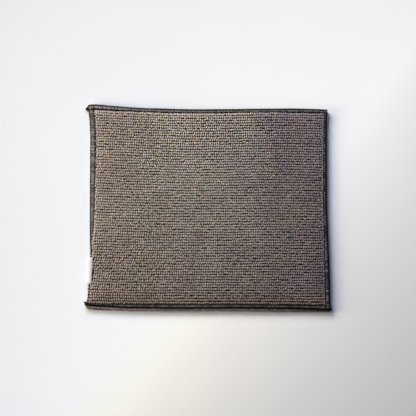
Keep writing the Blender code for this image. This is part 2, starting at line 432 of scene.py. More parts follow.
def endFinish(shader, colour, grain, roughness, bump):
    # the colour, and the roughness and bump of one grain
    share, least = roughness
    strength, distance = bump
    values = {"Strength": strength, "Distance": distance, "Height": grain}
    plug(colour, shader, "Base Color")
    plug(grain * share + least, shader, "Roughness")
    plug(grain.node("ShaderNodeBump", None, values), shader, "Normal")


# pile: rows of looped microfibre yarn on both faces

pileLook = {
    # painted shade: the colour deep in the pile, near the ground
    "paintedDeepShade": (0.080, 0.061, 0.056, 1.0),
    "shade": (0.219, 0.185, 0.173, 1.0),
    "light": (0.404, 0.370, 0.346, 1.0),
    "paintedHighlight": (0.490, 0.397, 0.315, 1.0),  # painted highlight: the lightest loops, at the left rim
    "paintedWarmLight": (1.00, 0.915, 0.895, 1.0),  # painted warm light on the left; the next colour is painted cool shade, darker, on the right
    "paintedCoolShade": (0.87, 0.770, 0.93, 1.0),
    "paintedRightRimShade": (0.75, 0.770, 0.96, 1.0),  # painted cool shade along the right rim
    "paintedBottomRimShade": (0.95, 0.800, 0.760, 1.0),  # painted brown shade along the bottom rim
    "olive": (0.975, 0.980, 0.930, 1.0),
    "middle": (0.0, 0.01, 0.0),  # most of the olive is round here, in m
    "warmLightToCoolShade": (-0.05, 0.05),  # m across, from the painted warm light to the painted cool shade
    "rightRimShadeFrom": (0.088, 0.094),  # m to the right, where the painted rim shade begins
    "bottomRimShadeFrom": (0.066, 0.080),  # m down, where the painted rim shade begins
    "oliveFrom": (0.10, 0.50),
    "shares": (0.60, 0.45, 0.25, -0.15),  # of tone, mottle and fibres, and how much lighter
    "sheen": 0.2,
    "roughness": (0.2, 0.72),
    "bump": (0.5, 0.00012),
}


def pileFinish():
    look = pileLook
    material, tree, shader = startFinish("looped_microfibre", {
        "Sheen Weight": look["sheen"], "Sheen Roughness": 0.45, "Sheen Tint": (0.8, 0.76, 0.72, 1.0),
        "Specular IOR Level": 0.3})
    place, strand = tree.place(), tree.strandMap()
    tone, depth = tree.attribute("tone"), tree.attribute("depth")
    mottle = place.noise(35.0, 3.0)
    fibres = strand.stretched((9.0, 1.6, 1.0)).noise(2.2, 2.0)
    ofTone, ofMottle, ofFibres, lighter = look["shares"]
    mix = (tone * ofTone + mottle * ofMottle + fibres * ofFibres + lighter).within(0.0, 1.0)
    sideways, upward = (place.node("ShaderNodeSeparateXYZ", None, {0: place}, axis) for axis in (0, 1))
    # painted light and shade: warm on the left, cooler and darker to the right
    hue = sideways.within(*look["warmLightToCoolShade"]).blend(look["paintedWarmLight"], look["paintedCoolShade"])
    middle = place.noise(45.0, 1.0) - place.distance(look["middle"]) * 3.0
    hue = middle.within(*look["oliveFrom"]).blend(hue, look["olive"])
    # painted cool shade along the right rim
    hue = sideways.within(*look["rightRimShadeFrom"]).blend(hue, look["paintedRightRimShade"])
    # painted brown shade along the bottom rim
    hue = (upward * -1.0).within(*look["bottomRimShadeFrom"]).blend(hue, look["paintedBottomRimShade"])
    yarn = mix.blend(look["shade"], look["light"]).timesColour(hue)
    # painted highlight where tone passes 1
    yarn = (tone - 1.0).within(0.0, 0.5).blend(yarn, look["paintedHighlight"])
    # painted shade deep in the pile, by the depth of each point
    endFinish(shader, depth.blend(look["paintedDeepShade"], yarn), fibres, look["roughness"], look["bump"])
    return material


pile = {
    "rows": 73,
    "loops": 103,  # in each row
    "pieces": 4,  # the face's loops are joined in this many pieces
    "base": 1.95,  # mm up, where the loops leave the ground cloth
    "span": 1.27,  # mm between a loop's two feet
    # places across and the share of the span there, then of the yarn's width
    "parted": ((-95, 1.02), (-60, 1.02), (-35, 1.0), (0, 0.98), (60, 0.99), (95, 1.02)),
    "spread": ((-95, 1.03), (-40, 0.98), (0, 0.94), (60, 0.92), (95, 0.95)),
    "halfWide": 0.91,  # mm, half the spread of the yarn across the row
    "halfThick": 0.52,
    "rings": 7,
    "sides": 6,
    "arch": (0.06, 0.94),  # the part of a whole arch that shows
    "blunt": 0.40,  # under 1 the arch has a blunt top
    "footWide": 0.65,  # the yarn's size at a loop's feet, as a share of its own
    "footThick": 0.8,
    "dark": (0.3, 1.9, 0.6),  # painted shade: darkest this many mm below the feet, over how many mm, how evenly
    "least": 3.95,  # mm, the height of the lowest loops, at the rim
    "roll": {"reach": 2.4, "lean": 0.35, "drop": 0.25},  # the outermost loops turn outwards
    "fat": 0.25,  # how much wider they are at the left and the top
    "topDown": 0.5,  # mm that the topmost row is drawn down
    "tone": 0.40,
    "rimLightAndShade": {"left": 0.8, "top": 0.55, "right": -0.2, "bottom": -0.6},  # rims painted lighter at the left and top and darker at the right and bottom: painted light and shade
    # painted light and shade in broad spots, lighter or darker: X, Y, reach in mm and how much
    "paintedLightAndShade": ((5, 58, 45, 0.98), (-5, -25, 50, 0.40), (-88, 52, 45, -0.80), (-85, 0, 30, 0.04),
             (-80, -60, 45, -0.55), (80, -60, 45, -0.22), (90, 0, 40, -0.16), (85, 60, 40, -0.10)),
    "stray": (0.006, 0.8),  # the share of loops that stand out, and how much lighter
    # where the loops part into separate knobs: X, Y, reach in mm and what differs
    "jumble": (-62.0, -60.0, 38.0),
    "knobbly": {"loose": 0.15, "x": 0.03, "wide": -0.05, "span": -0.15, "across": 0.18},
    "uneven": ((-90, 0.10), (-60, 0.17), (0, 0.29)),  # places across, how much the tone varies there
    "shift": 0.45,  # mm that a row stands to one side of the next
    # how much one loop differs from the next, in mm and radians, and slow waves over all
    "varied": {"x": 0.045, "y": 0.10, "high": 0.08, "yaw": 0.09, "lean": 0.07, "tip": 0.05,
               "wide": 0.05, "twist": 0.35},
    "waves": {"tone": (0.15, 22, 16, 19), "x": (0.20, 14, 12, 3), "y": (0.17, 8, 6, 5),
              "high": (0.05, 6, 5, 7), "yaw": (0.06, 16, 12, 11), "lean": (0.05, 16, 12, 13)},
}

# the course of loops along the left and right rims
rimCourse = {
    # places along it and the tone there: painted light along the left rim, painted shade along the right
    "tones": {"left": ((-85, 0.90), (-55, 1.10), (-20, 0.76), (15, 0.66), (50, 0.12)),
              "right": ((-85, -0.45), (60, -0.35))},
    "wide": 0.9,  # mm that it takes up
    "pitch": 1.55,
    "inset": 0.45,  # mm inside the pile's own edge
    "inward": 1.5,  # mm further inside, where its height is taken from
    "drop": 0.25,
    "yarn": 0.95,  # the yarn's width and a loop's span
    "lean": 0.22,
    "varied": {"y": 0.12, "x": 0.08, "high": 0.10, "yaw": 0.2, "lean": 0.10, "tip": 0.10,
               "wide": 0.07, "twist": 0.3, "tone": 0.2},
}


def labelEnd(pick):
    # its lower and upper Y and the X there, of the inner end with np.max or the fold with np.min
    solid = nodePoints("label")
    upward = (solid[:, 1].min(), solid[:, 1].max())
    return upward, [pick(solid[np.abs(solid[:, 1] - end) < 0.5, 0]) for end in upward]


def besideLabel(y, room):
    # where the pile or a stitch may begin, with some room beside the label
    upward, inner = labelEnd(np.max)
    beside = (y > upward[0] - 0.5) & (y < upward[1] + 0.5)
    return np.where(beside, np.interp(y, upward, inner) + room, -1000.0)


def varied(amounts, count):
    # draws what varies from loop to loop, by its name
    return lambda name: rng.normal(0, amounts[name], count)


def faceLoops():
    # where each loop stands, how high it reaches and which way it leans
    rows, loops, roll = pile["rows"], pile["loops"], pile["roll"]
    upward, across = grid((np.arange(rows) + 0.5) / rows, (np.arange(loops) + 0.5) / loops)
    upward, across = upward.ravel(), across.ravel()
    wide, tall = np.ptp(sides["top"]["along"]), np.ptp(sides["left"]["along"])
    across = 0.5 + (across - 0.5) * (1 - 2 * rimCourse["wide"] / wide)
    x, y = clothPoint(across, upward, inset=0.0)
    jx, jy, reach = pile["jumble"]
    knob = np.exp(-((x - jx) ** 2 + (y - jy) ** 2) / reach ** 2)
    knobbly = {key: amount * knob for key, amount in pile["knobbly"].items()}
    loose = 1.0 + knobbly["loose"]
    # painted light and shade in broad spots
    lightAndShade = sum(more * np.exp(-((x - px) ** 2 + (y - py) ** 2) / far ** 2)
              for px, py, far, more in pile["paintedLightAndShade"])
    count = len(x)
    waves = {key: wave(setup, x, y) for key, setup in pile["waves"].items()}
    tone = rng.normal(0, 1, count) * graph(pile["uneven"], x) + waves["tone"]
    shift = np.repeat(rng.normal(0, pile["shift"], rows), loops)
    fromSides = {"left": across * wide, "right": (1 - across) * wide,
                 "bottom": upward * tall, "top": (1 - upward) * tall}
    near = {side: np.exp(-away / roll["reach"]) for side, away in fromSides.items()}
    crest = np.maximum(crestHeights(x, y), pile["least"]) - roll["drop"] * sum(near.values())
    # painted light and shade at the rims
    rimLightAndShade = sum(pile["rimLightAndShade"][side] * amount for side, amount in near.items())
    strayShare, strayTone = pile["stray"]
    some = varied(pile["varied"], count)
    return {
        "x": x + shift + waves["x"] + rng.normal(0, 1, count) * (pile["varied"]["x"] + knobbly["x"]),
        "y": y + some("y") * loose + loose * waves["y"] - pile["topDown"] * near["top"] ** 2,
        "high": crest + some("high") * loose + waves["high"],
        "yaw": waves["yaw"] + some("yaw") * loose,
        "lean": waves["lean"] * loose + some("lean") * loose,
        "tip": some("tip") * loose,
        "wide": graph(pile["spread"], x) + some("wide")
                + pile["fat"] * (near["left"] + near["top"]) + knobbly["wide"],
        "twist": some("twist"),
        "span": pile["span"] * graph(pile["parted"], x) * (1 + knobbly["span"]),
        "across": 1 + knobbly["across"],
        "tone": np.clip(pile["tone"] + tone + lightAndShade, 0, 1)
                + strayTone * (rng.random(count) < strayShare) + rimLightAndShade,
        "outX": roll["lean"] * (near["right"] - near["left"]),
        "outY": roll["lean"] * (near["top"] - near["bottom"]),
    }


def rimLoops(side):
    # the course of loops beside a side's needle line
    line, sign = sides[side], sides[side]["sign"]
    upward = np.linspace(0.004, 0.996, int(np.ptp(line["along"]) / rimCourse["pitch"]))
    x, y = clothPoint(np.full(len(upward), 0.5 + 0.5 * sign), upward)
    some = varied(rimCourse["varied"], len(y))
    y = y + some("y")
    x = np.maximum(x, besideLabel(y, 0.0)) - sign * (rimCourse["inset"] + some("x"))
    crest = crestHeights(x - sign * rimCourse["inward"], y)
    crest = np.maximum(crest, pile["least"]) - rimCourse["drop"]
    size = (crest, 0.5 * math.pi, rimCourse["yarn"], rimCourse["yarn"])
    spot = likeLoops(x, y, size, sign * rimCourse["lean"], 0.0, some)
    # painted light and shade along the rims, in the tone
    spot["tone"] = np.clip(0.5 + some("tone"), 0, 1) + graph(rimCourse["tones"][side], y)
    return spot


def likeLoops(x, y, size, outX, outY, some):
    # a row of loops meant alike; size is their height, turn, width and span
    high, yaw, wide, span = size
    none = np.zeros(len(x))
    return {
        "x": x, "y": y, "high": high + some("high"), "yaw": yaw + some("yaw"),
        "lean": some("lean"), "tip": some("tip"), "wide": wide + some("wide"),
        "twist": some("twist"), "span": none + span, "across": none + 1, "outX": none + outX,
        "outY": none + outY,
    }


def archStrands(spot, base):
    # each loop as an arch of yarn that stands on the ground cloth
    part = np.linspace(*pile["arch"], pile["rings"])[None, :]
    arch = np.sin(math.pi * part)
    column = {key: value[:, None] for key, value in spot.items()}
    along = np.stack([np.cos(column["yaw"]), np.sin(column["yaw"]), np.zeros_like(column["yaw"])], -1)
    acrossRow = np.stack([-along[..., 1], along[..., 0], along[..., 2]], -1)
    up = acrossRow * column["lean"][..., None] + along * column["tip"][..., None]
    up += np.stack([column["outX"], column["outY"], np.ones_like(column["yaw"])], -1)
    halfThick = pile["halfThick"] * fuller(pile["footThick"], arch) * column["wide"]
    halfWide = pile["halfWide"] * fuller(pile["footWide"], arch) * column["wide"] * column["across"]
    rise = (column["high"] - base - pile["halfThick"]) * arch ** pile["blunt"]
    swing = -0.5 * column["span"] * np.cos(math.pi * part) * column["wide"]
    foot = np.stack([column["x"], column["y"], np.full_like(column["x"], base)], -1)
    centre = foot + along * swing[..., None] + up * rise[..., None]
    turned = column["twist"] * (part - 0.5)
    wideWay = acrossRow * np.cos(turned)[..., None] + up * np.sin(turned)[..., None]
    # painted shade: the yarn darker the lower it lies
    below, over, curve = pile["dark"]
    depth = np.clip((centre[..., 2] - base + below) / over, 0.0, 1.0) ** curve
    return strands(centre, wideWay, halfWide, halfThick, pile["sides"], spot["tone"], depth)


def makeFacePile(material):
    spot = faceLoops()
    keep = spot["x"] > besideLabel(spot["y"], 1.3)
    spot = {key: value[keep] for key, value in spot.items()}
    perPiece = math.ceil(pile["rows"] / pile["pieces"]) * pile["loops"]
    made = []
    for i in range(pile["pieces"]):
        some = {key: value[i * perPiece:(i + 1) * perPiece] for key, value in spot.items()}
        made.append(makeMesh(f"face_pile_{i + 1}", archStrands(some, pile["base"]), material))
    rims = joinStrands([archStrands(rimLoops(side), pile["base"]) for side in rimCourse["tones"]])
    made.append(makeMesh("rim_pile", rims, material))
    return made


backPile = {
    "halfWide": 0.92,
    "halfThick": 0.56,
    "lumps": 80,  # in each row
    "sides": 5,
    "waist": 0.80,  # the yarn's size between two lumps
    "inset": 0.3,  # mm inside the edging's own back
    "wave": (0.16, 8, 6, 23),
    "varied": {"y": 0.05, "lump": 0.05, "tone": 0.2},
}


def makeBackPile(material):
    # the underside's rows, pressed flat where the cloth lies, each as one lumpy strand
    rows, rings = pile["rows"], 2 * backPile["lumps"]
    upward, across = grid((np.arange(rows) + 0.5) / rows, np.linspace(0, 1, rings))
    x, y = clothPoint(across.ravel(), upward.ravel(), sides["top"]["under"] + backPile["inset"], False)
    x, y = x.reshape(rows, rings), y.reshape(rows, rings)
    some = varied(backPile["varied"], x.shape)
    y = y + wave(backPile["wave"], x, y) + some("y")
    bead = 0.5 + 0.5 * np.cos(math.pi * np.arange(rings))[None, :]
    lump = fuller(backPile["waist"], bead) + some("lump")
    halfWide, halfThick = backPile["halfWide"] * lump, backPile["halfThick"] * lump
    centre = np.stack([x, y, halfThick + lowest], -1)
    tone = np.clip(0.5 + some("tone"), 0, 1)
    # painted shade: darker at the waists between the lumps
    rowStrands = strands(centre, (0.0, 1.0, 0.0), halfWide, halfThick, backPile["sides"], tone,
                         fuller(0.75, bead), long=True)
    return makeMesh("back_pile", rowStrands, material)


hemPile = {
    "pitch": 1.9,
    "base": 0.7,
    "ends": (0.8, 1.0),  # mm inside the side's left and right ends
    "heights": ((-98, 2.75), (55, 2.75), (92, 1.7)),  # places along it and the upper row's height
    "yarn": 1.12,
    "span": 0.9 * pile["span"],
    "lean": 0.12,  # how far the upper row's loops lean outwards
    "lower": 0.85,  # mm: the height of the lower row, which lies outwards
    "least": 0.80,
    "proud": 0.55,  # mm that it goes past the outer line
    "taper": (0.75, 1.0, 0.9, -0.3),  # the share of that at four places from left to right
    "tones": (-0.1, 0.1, 0.55, 0.1),  # and the tone, at four more
    "halfWide": 0.70,
    "halfThick": 0.45,
    "rings": 8,
    "varied": {"x": 0.12, "tone": 0.2, "y": 0.08, "high": 0.08, "yaw": 0.15, "lean": 0.08, "tip": 0.08,
               "wide": 0.07, "twist": 0.3, "size": 0.08, "proud": 0.12, "lower": 0.08},
}


def makeHemPile(material):
    # the back's pile, pushed out under the bottom edging: one row stands and one lies outwards
    line = sides["bottom"]
    start, end = line["along"][0] + hemPile["ends"][0], line["along"][-1] - hemPile["ends"][1]
    x = np.arange(start, end, hemPile["pitch"])
    some = varied(hemPile["varied"], len(x))
    x = x + some("x")
    taper = np.interp(x, (start, start + 25, end - 40, end), hemPile["taper"])
    tone = np.interp(x, (start, start + 30, 0, end), hemPile["tones"]) + some("tone")
    y = outerLine("bottom", x) + some("y") + np.maximum(0.62 * (setBack("bottom", x) - 0.5), 0.35)
    size = (graph(hemPile["heights"], x), 0.0, hemPile["yarn"], hemPile["span"])
    upper = likeLoops(x, y, size, 0.0, -hemPile["lean"], some)
    upper["tone"] = np.clip(tone, 0, 1)
    part = np.linspace(*pile["arch"], hemPile["rings"])[None, :]
    arch = np.sin(math.pi * part)
    places = x[:, None] + hemPile["pitch"] / 2
    some = varied(hemPile["varied"], places.shape)
    size = 1 + some("size")
    proud = hemPile["proud"] * taper[:, None] + some("proud") - hemPile["halfThick"]
    along = places - 0.55 * np.cos(math.pi * part) * size
    across = outerLine("bottom", along) - proud * arch ** 0.5 + 1.6 * (1 - arch ** 0.5)
    height = hemPile["lower"] + some("lower") + 0.25 * (part - 0.5)
    centre = np.stack([along, across, np.maximum(height, hemPile["least"]) + 0 * along], -1)
    # painted shade: the lying row darker towards its ends
    lower = strands(centre, upright, hemPile["halfWide"] * size * fuller(0.7, arch),
                    hemPile["halfThick"] * size * fuller(0.8, arch), 6, upper["tone"], 0.5 + 0.4 * arch)
    return makeMesh("hem_pile", joinStrands([archStrands(upper, hemPile["base"]), lower]), material)


pileYarn = pileFinish()
facePile = makeFacePile(pileYarn)
backPilePiece = makeBackPile(pileYarn)
hemPilePiece = makeHemPile(pileYarn)
print("pile:", sum(len(piece.data.polygons) for piece in facePile), "faces on the face,",
      len(backPilePiece.data.polygons), "on the back")


# ground cloth: the knitted sheet that the loops stand on

ground = {
    "inset": 0.3,  # mm inside the outer line
    "hem": 0.8,  # along the bottom it goes back by this share of what the stitches do
    "rolled": 0.9,  # mm back where the left side is rolled under
    "rimTop": 2.2,
    "rimBottom": 1.0,
    "swell": (0.12, 26, 22, 29),
    "columns": 60,
    "rows": 50,
    # painted shade: the ground cloth coloured near-black, as the shade between the loops
    "dark": (0.020, 0.016, 0.013, 1.0),
    "light": (0.060, 0.048, 0.040, 1.0),
}


def groundFinish():
    material, tree, shader = startFinish("knitted_ground", {"Specular IOR Level": 0.2})
    place = tree.place()
    knit = place.stretched((530.0, 470.0, 200.0)).noise(1.0, 2.0)
    colour = knit.within(0.35, 0.7).blend(ground["dark"], ground["light"])
    endFinish(shader, colour, knit, (0.1, 0.85), (0.6, 0.0003))
    return material


sheetBake = {
    "size": (0.48, 0.85),  # each face's share of the bake map
    "corners": ((0.01, 0.01), (0.51, 0.01)),
    "rim": (0.98, 0.90, 0.90, 0.98),
}


def gridSheet(name, across, upward, one, other, material):
    # a closed thin sheet between two grids of points
    rows, columns = across.shape
    count = rows * columns
    number = np.arange(count).reshape(rows, columns)
    upper = np.stack([number[:-1, :-1], number[:-1, 1:], number[1:, 1:], number[1:, :-1]], -1)
    upper = upper.reshape(-1, 4)
    rim = np.concatenate([number[0], number[1:, -1], number[-1, -2::-1], number[-2:0:-1, 0]])
    following = np.roll(rim, -1)
    wall = np.stack([rim, rim + count, following + count, following], -1)
    quads = np.concatenate([upper, upper[:, ::-1] + count, wall])
    flat = np.stack([across, upward], -1).reshape(-1, 2)
    bake = np.concatenate([flat * sheetBake["size"] + corner for corner in sheetBake["corners"]])
    bake = bake[quads.ravel()]
    ends = np.linspace(0.01, 0.99, len(wall) + 1)
    strip = np.stack([ends[:-1], ends[:-1], ends[1:], ends[1:]], -1)
    bake[-wall.size:, 0] = strip.ravel()
    bake[-wall.size:, 1] = np.tile(sheetBake["rim"], len(wall))
    return makeMesh(name, {"points": np.concatenate([one, other]), "corners": quads.ravel(),
                           "totals": np.full(len(quads), 4), "strand": bake, "OFBake": bake,
                           "tone": np.full(2 * count, 0.5), "depth": np.ones(2 * count)}, material)


def makeGround(material):
    upward, across = grid(np.linspace(0, 1, ground["rows"]), np.linspace(0, 1, ground["columns"]))
    x, y = clothPoint(across.ravel(), upward.ravel(), inset=ground["inset"], pastBand=False)
    y = np.maximum(y, outerLine("bottom", x) + ground["hem"] * setBack("bottom", x))
    x = np.maximum(x, outerLine("left", y) + ground["inset"] + ground["rolled"] * rolledUnder("left", y))
    inside = np.minimum.reduce([across.ravel(), 1 - across.ravel(), upward.ravel(), 1 - upward.ravel()])
    ripple = wave(ground["swell"], x, y) * np.clip(inside * 16, 0, 1)
    one = np.stack([x, y, ground["rimTop"] + ripple], -1)
    other = np.stack([x, y, ground["rimBottom"] + ripple], -1)
    return gridSheet("ground_cloth", across, upward, one, other, material)


groundCloth = makeGround(groundFinish())
print("ground cloth made")


# edging: overlock stitches over each side

edging = {
    "pitch": 2.4,  # mm between needle points
    "legWide": 0.56,  # half the spread of a looper thread along the side
    "pair": 0.21,  # a stitch's two legs stand this share of the pitch from its middle
    "lean": 0.16,  # and lean this share of it one way and the other
    "legThick": 0.27,
    "knotLong": 1.7,  # mm, the dark needle stitch, partly real thread and partly painted shade of the needle holes
    "knotWide": bySide(0.62, 0.55, 0.66, 0.55),
    # places along these sides and how large the needle stitches are there
    "knotSwell": {"top": ((-100, 1.35), (-60, 1.15), (-45, 0.82), (40, 0.85), (95, 0.95)),
                  "left": ((-20, 1.0), (20, 1.15), (50, 1.40))},
    "legRolled": 0.5,  # mm further in where the side is rolled under
    "purlRolled": 0.6,
    "tuck": 2.6,  # mm that the left and right edgings go on under the others
    "purlThick": bySide(0.42, 0.58, 0.34, 0.68),
    # the same threads painted lighter or darker side by side: painted light and shade
    "purlLightShade": bySide(1.6, -0.5, 0.6, 0.0),
    "legLightShade": bySide(0.35, -0.1, 0.05, 0.2),
    "legVaried": bySide(0.7, 1.0, 1.0, 2.0),
    "knotFaded": (-95, -35),  # between these the bottom side's needle stitches grow darker
    "uneven": bySide(0.24, 0.16, 0.18, 0.16),  # mm, of the needle stitches
    "varied": {"leg": 0.08, "legWide": 0.10, "knot": 0.10, "knotWide": 0.08},  # mm or a share
    "purlInward": bySide(0.50, 0.42, 0.35, 0.25),
    "purlUp": bySide(0.98, 0.80, 0.90, 0.80),  # share of the edging's height
    "nose": 1.2,
}
threadLook = {
    "looper": {"shade": (0.034, 0.031, 0.030, 1.0), "light": (0.232, 0.214, 0.202, 1.0),
               "sheen": 0.12, "specular": 0.25},
    "purl": {"shade": (0.002, 0.002, 0.003, 1.0), "light": (0.026, 0.026, 0.031, 1.0),
             "sheen": 0.0, "specular": 0.06},
}


def threadFinish(name, look):
    material, tree, shader = startFinish(name, {
        "Sheen Weight": look["sheen"], "Sheen Roughness": 0.4, "Specular IOR Level": look["specular"]})
    place, strand, tone = tree.place(), tree.strandMap(), tree.attribute("tone")
    filaments = strand.stretched((11.0, 2.5, 1.0)).noise(2.0, 2.0)
    patches = place.noise(120.0, 2.0)
    mix = (filaments * 0.7 + patches * 0.5 + tone * 0.6 - 0.5).within(0.0, 1.0)
    endFinish(shader, mix.blend(look["shade"], look["light"]), filaments, (0.25, 0.5), pileLook["bump"])
    return material


def sidePlace(side, along, inward, height):
    # a point of a side's section, in mm
    line = sides[side]
    across = outerLine(side, along) - line["sign"] * inward
    flat = (along, across) if line["axis"] == 0 else (across, along)
    return np.stack([flat[0], flat[1], height + 0 * along], -1)


def perStitch(amount, places):
    return rng.normal(0, amount, (len(places), 1))


def looperLegs(side, places, lean, tone):
    # thread legs over the rim, from the needle line round the outer side and back under
    line, some = sides[side], edging["varied"]
    high, nose, thick, under = line["height"], edging["nose"], edging["legThick"], line["under"]
    back = (setBack(side, places) + edging["legRolled"] * rolledUnder(side, places))[:, None]
    seam = np.maximum(needleInward(side, places)[:, None], back + 0.5)
    turn = np.radians([70, 40, 10, -20, -50, -75])
    inward = [seam + 0.25, seam - 0.10]
    inward += [back + (seam - back) * 0.72 + 0.1, back + (seam - back) * 0.45 + 0.25]
    inward += [back + nose - (nose - thick) * math.cos(a) for a in turn]
    inward += [inside + 0 * seam for inside in (under * 0.5, under * 0.8, under + 0.2)]
    height = [high - 1.1, high - thick - 0.15, high - thick, high - thick]
    height += [high / 2 + (high / 2 - thick) * math.sin(a) for a in turn]
    height += [thick + 0.02, thick + 0.05, 0.9]
    inward = np.concatenate(inward, axis=1)
    rings = inward.shape[1]
    height = np.broadcast_to(height, inward.shape) + rng.normal(0, 0.04, inward.shape)
    height = np.maximum(height, thick + lowest)
    part = np.linspace(0, 1, rings)[None, :]
    swing = 1 - 2 * np.abs(1 - 2 * part)
    along = places[:, None] + lean * edging["pitch"] * edging["lean"] * swing
    along = along + perStitch(some["leg"], places)
    centre = sidePlace(side, along, inward, height)
    pinch = np.clip(np.minimum(part, 1 - part) * 7, 0, 1)
    width = edging["legWide"] * fuller(0.42, pinch) * (1 + perStitch(some["legWide"], places))
    return strands(centre, np.eye(3)[line["axis"]], width, thick * fuller(0.8, pinch), 6, tone)


def needleKnots(side, points, onTop):
    # the needle's own short stitches, drawn down into the pile; near-black, partly real thread and
    # partly painted shade of the needle holes
    line, some = sides[side], edging["varied"]
    if side == "left":
        points = points[outerLine(side, points) > besideLabel(points, 0.5)]
    part = np.linspace(-0.5, 0.5, 6)[None, :]
    jitter = perStitch(some["knot"], points)
    faded = np.interp(points, edging["knotFaded"], (1.0, 0.25)) if side == "bottom" else 0.0
    rolled = rolledUnder(side, points)[:, None] * onTop  # there the stitches pass over the rim
    along = points[:, None] + jitter + edging["knotLong"] * part * (1 - 0.85 * rolled)
    hump = np.cos(math.pi * part)
    if onTop:
        inward = needleInward(side, along) + perStitch(edging["uneven"][side], points)
        inward = inward + rolled * (2.0 * part + 0.55)
        height = line["height"] - 0.50 + 0.45 * hump + rolled * (0.9 * part + 0.7)
    else:
        inward = line["under"] + 0.1 + 0 * along
        height = 0.80 - 0.25 * hump
    centre = sidePlace(side, along, inward, height + 0 * along)
    size = edging["knotWide"][side] * fuller(0.55, hump) * (1 + perStitch(some["knotWide"], points))
    size = size * (1 - 0.15 * rolled) if onTop else np.minimum(size * 0.75, 0.48)
    if side in edging["knotSwell"] and onTop:
        size = size * graph(edging["knotSwell"][side], along)
    return strands(centre, upright, size, size, 6, rng.uniform(0.0, 0.3, len(points)) + faded)


def purlCord(side, start, end, phase):
    # the loopers' crossing along the outer side, one ply of a twisted cord
    line = sides[side]
    rings = int((end - start) / edging["pitch"] * 8) + 1
    along = np.linspace(start, end, rings)[None, :]
    angle = tau * (along - start) / edging["pitch"] + phase
    rolled, thick = rolledUnder(side, along), edging["purlThick"][side]
    inward = edging["purlInward"][side] + setBack(side, along) + edging["purlRolled"] * rolled
    inward = inward + thick * 0.47 * np.cos(angle)
    height = line["height"] * (edging["purlUp"][side] - 0.5 * rolled) + thick * 0.55 * np.sin(angle)
    centre = sidePlace(side, along, inward, height)
    size = thick * (1 + 0.12 * np.cos(2 * angle))
    # painted light and shade: each side's purl lighter or darker
    return strands(centre, upright, size, size, 6, [edging["purlLightShade"][side]], long=True)


# thread tails at the corners, in mm: how far each goes inside and past the side's end, how far inside
# the outer line it starts and ends, how it rises, and how thick and how wide it begins
tailKeys = ("side", "way", "inside", "reach", "start", "end", "lift", "thick", "spread")
tails = [dict(zip(tailKeys, row)) for row in (
    ("top", -1, 1.1, 2.6, 0.9, 3.6, -0.3, 0.66, 0.70),
    ("top", -1, 6.5, 2.4, 3.5, 3.7, -0.6, 0.72, 0.60),
    ("top", 1, 1.1, 0.4, 1.6, 1.4, -0.2, 0.62, 0.90),
    ("bottom", -1, 1.1, 1.3, 1.6, 5.0, 0.1, 0.70, 0.75),
    ("bottom", -1, 4.0, 1.0, 4.0, 4.7, 0.1, 0.78, 0.80),
    ("bottom", 1, 1.1, 1.5, 2.0, 2.5, -0.1, 0.66, 0.90),
)]


def threadTail(tail):
    # a short twisted chain of the three threads, with its ends parted
    side, way = tail["side"], tail["way"]
    line = sides[side]
    end = line["along"][-1] if way > 0 else line["along"][0]
    part = np.linspace(0, 1, 16)[None, :]
    phase = (np.arange(3) * tau / 3)[:, None]
    long = tail["inside"] + tail["reach"]
    along = end - way * tail["inside"] + way * long * part + 0 * phase
    spread = tail["spread"] + (0.38 - tail["spread"]) * part + 0.15 * np.clip(part * 6 - 5, 0, 1)
    angle = tau * long / 3.2 * part + phase
    inward = tail["start"] + (tail["end"] - tail["start"]) * part ** 1.3 + spread * np.cos(angle)
    height = line["height"] / 2 + tail["lift"] * part + np.minimum(spread, 0.85) * np.sin(angle)
    centre = sidePlace(side, along, inward, height)
    size = tail["thick"] * (1 - 0.45 * part ** 2)
    return strands(centre, upright, size, size, 7, [0.1, 0.3, 0.2])


def makeEdging(side, looper, dark):
    line = sides[side]
    start, end = line["along"][0], line["along"][-1]
    if line["axis"] == 1:
        start, end = start - edging["tuck"] * 0.5, end + edging["tuck"]
    points = np.linspace(start, end, round((end - start) / edging["pitch"]) + 1)
    middles = (points[:-1] + points[1:]) / 2
    pair = (points[1] - points[0]) * edging["pair"]
    tone = 0.5 + rng.uniform(-0.5, 0.5, len(middles)) * edging["legVaried"][side]
    # painted light and shade: each side's legs lighter or darker
    tone = tone + edging["legLightShade"][side]
    legs = joinStrands([looperLegs(side, middles - pair, 1.0, np.clip(tone + 0.1, 0, 1.4)),
                        looperLegs(side, middles + pair, -1.0, np.clip(tone - 0.1, 0, 1.4))])
    legFaces = len(legs["totals"])
    others = [needleKnots(side, points, True), needleKnots(side, points[1:-1], False),
              purlCord(side, start, end, 0.0), purlCord(side, start, end, math.pi)]
    others += [threadTail(tail) for tail in tails if tail["side"] == side]
    piece = makeMesh("edging_threads_" + side, joinStrands([legs, joinStrands(others)]), looper)
    piece.data.materials.append(dark)
    slots = np.zeros(len(piece.data.polygons), np.int32)
    slots[legFaces:] = 1
    piece.data.polygons.foreach_set("material_index", slots)
    return piece


looperThread = threadFinish("looper_thread", threadLook["looper"])
purlThread = threadFinish("purl_thread", threadLook["purl"])
edgings = {side: makeEdging(side, looperThread, purlThread) for side in sides}
print("edging:", sum(len(piece.data.polygons) for piece in edgings.values()), "faces")


# label: a small blank folded tape on the left side

label = {
    "ply": 0.30,  # mm thick
    "inner": 4.65,  # mm from the fold to the end of the upper ply
    "shorter": 0.2,  # mm that the lower ply ends sooner
    "apart": 0.2,  # mm from the middle to each ply
    "bend": (0.5, 0.22),  # mm inside the fold where the tape begins to turn, and how far out it goes
    "down": 0.38,  # mm from the highest point down to the middle
    "rings": (28, 9, 7),  # along the label, across each ply and round the fold
    "shade": (0.54, 0.50, 0.56, 1.0),
    "light": (0.70, 0.655, 0.735, 1.0),
}


